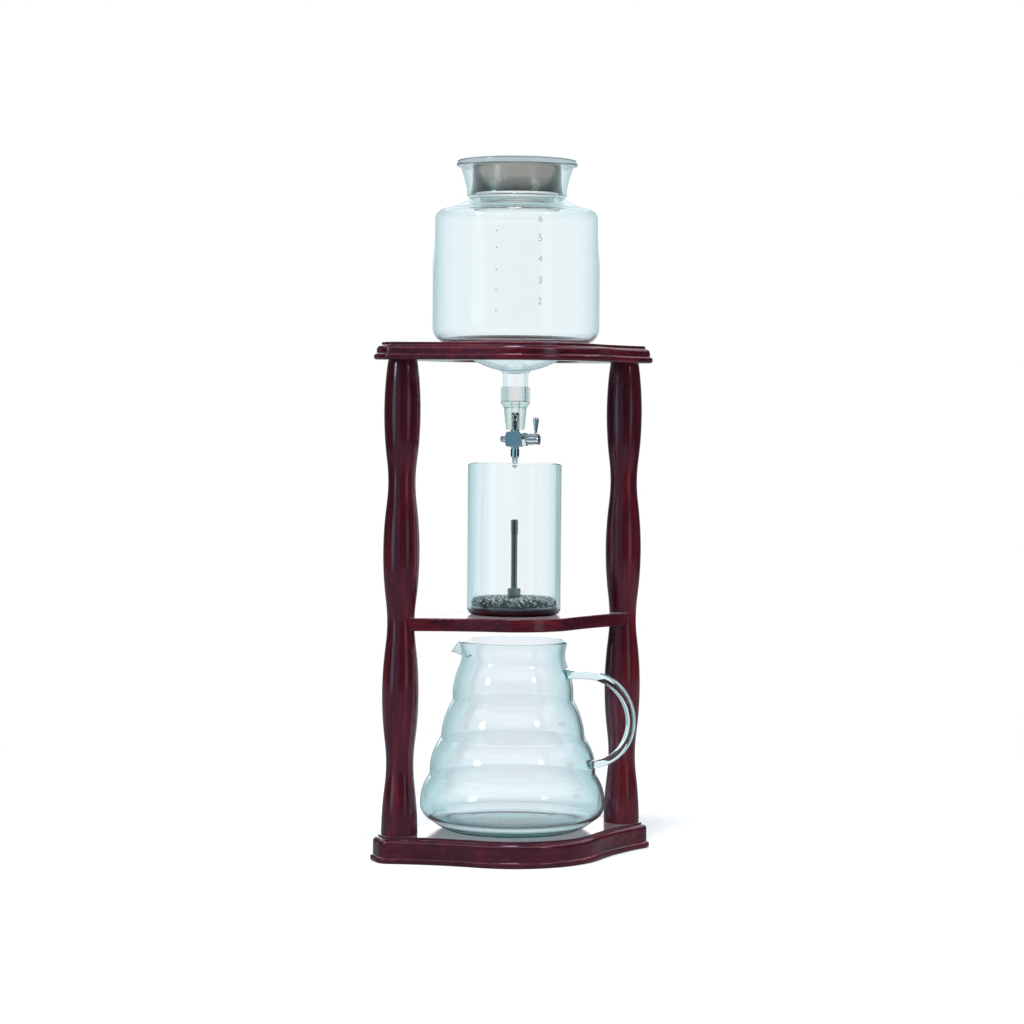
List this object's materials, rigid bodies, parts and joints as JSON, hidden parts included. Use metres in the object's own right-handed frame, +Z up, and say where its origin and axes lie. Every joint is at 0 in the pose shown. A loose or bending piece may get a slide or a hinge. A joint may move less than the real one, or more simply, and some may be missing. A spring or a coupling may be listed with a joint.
{
  "type": "cold drip coffee tower",
  "caption": "Cold drip coffee tower: water tank with drip valve, dripper with steel filter and glass carafe in a turned wooden stand.",
  "frame": {"origin": "middle of the base board's underside, on the axis of the glassware", "axes": "+Z up, +X along the two columns to the right, front towards -Y"},
  "size_m": [0.2188, 0.1424, 0.5143],
  "materials": {
    "wood": "red-brown stain under gloss lacquer",
    "plain_wood": "plain beech",
    "screw_steel": "zinc plated",
    "glass": "clear heatproof glass",
    "clear_lid": "clear glossy",
    "smoke_lid": "smoke-grey glossy",
    "milky_silicone": "translucent milky silicone",
    "chrome": "polished",
    "packing": "white packing ring",
    "filter_steel": "stainless wire cloth and post",
    "black_rubber": "satin"
  },
  "bodies": {
    "frame": {"base_board": "wood", "top_board": "wood", "shelf_board": "wood", "left_column": "wood", "right_column": "wood", "base_screws": "screw_steel", "top_dowels": "plain_wood"},
    "tank": {"tank_glass": "glass", "outlet_connector": "milky_silicone", "valve_body": "chrome", "valve_inlet": "chrome", "drip_nozzle": "chrome", "gland_packing": "packing", "gland_nut": "chrome"},
    "valve_lever": {"valve_plug": "chrome", "plug_end_nut": "chrome", "lever_hub": "chrome", "lever_handle": "chrome"},
    "lid": {"lid_disc": "clear_lid", "lid_plug": "smoke_lid", "lid_seal": "milky_silicone"},
    "dripper": {"dripper_glass": "glass"},
    "filter": {"filter_seal": "black_rubber", "filter_plate": "filter_steel", "filter_mesh": "filter_steel", "filter_post": "filter_steel", "filter_nut": "filter_steel"},
    "carafe": {"carafe_glass": "glass", "carafe_handle": "glass"}
  },
  "joints": [
    {"name": "tank_lift", "type": "slide", "parent": "frame", "child": "tank", "axis": [0, 0, 1], "range_m": [0, 0.12]},
    {"name": "lid_lift", "type": "slide", "parent": "tank", "child": "lid", "axis": [0, 0, 1], "range_m": [0, 0.12]},
    {"name": "valve_turn", "type": "hinge", "parent": "tank", "child": "valve_lever", "pos_m": [0, 0, 0.3076], "axis": [0.7934, -0.6088, 0], "range_deg": [0, 90]},
    {"name": "dripper_lift", "type": "slide", "parent": "frame", "child": "dripper", "axis": [0, 0, 1], "range_m": [0, 0.035]},
    {"name": "filter_lift", "type": "slide", "parent": "dripper", "child": "filter", "axis": [0, 0, 1], "range_m": [0, 0.035]},
    {"name": "carafe_slide", "type": "slide", "parent": "frame", "child": "carafe", "axis": [0, -1, 0], "range_m": [0, 0.16]}
  ]
}
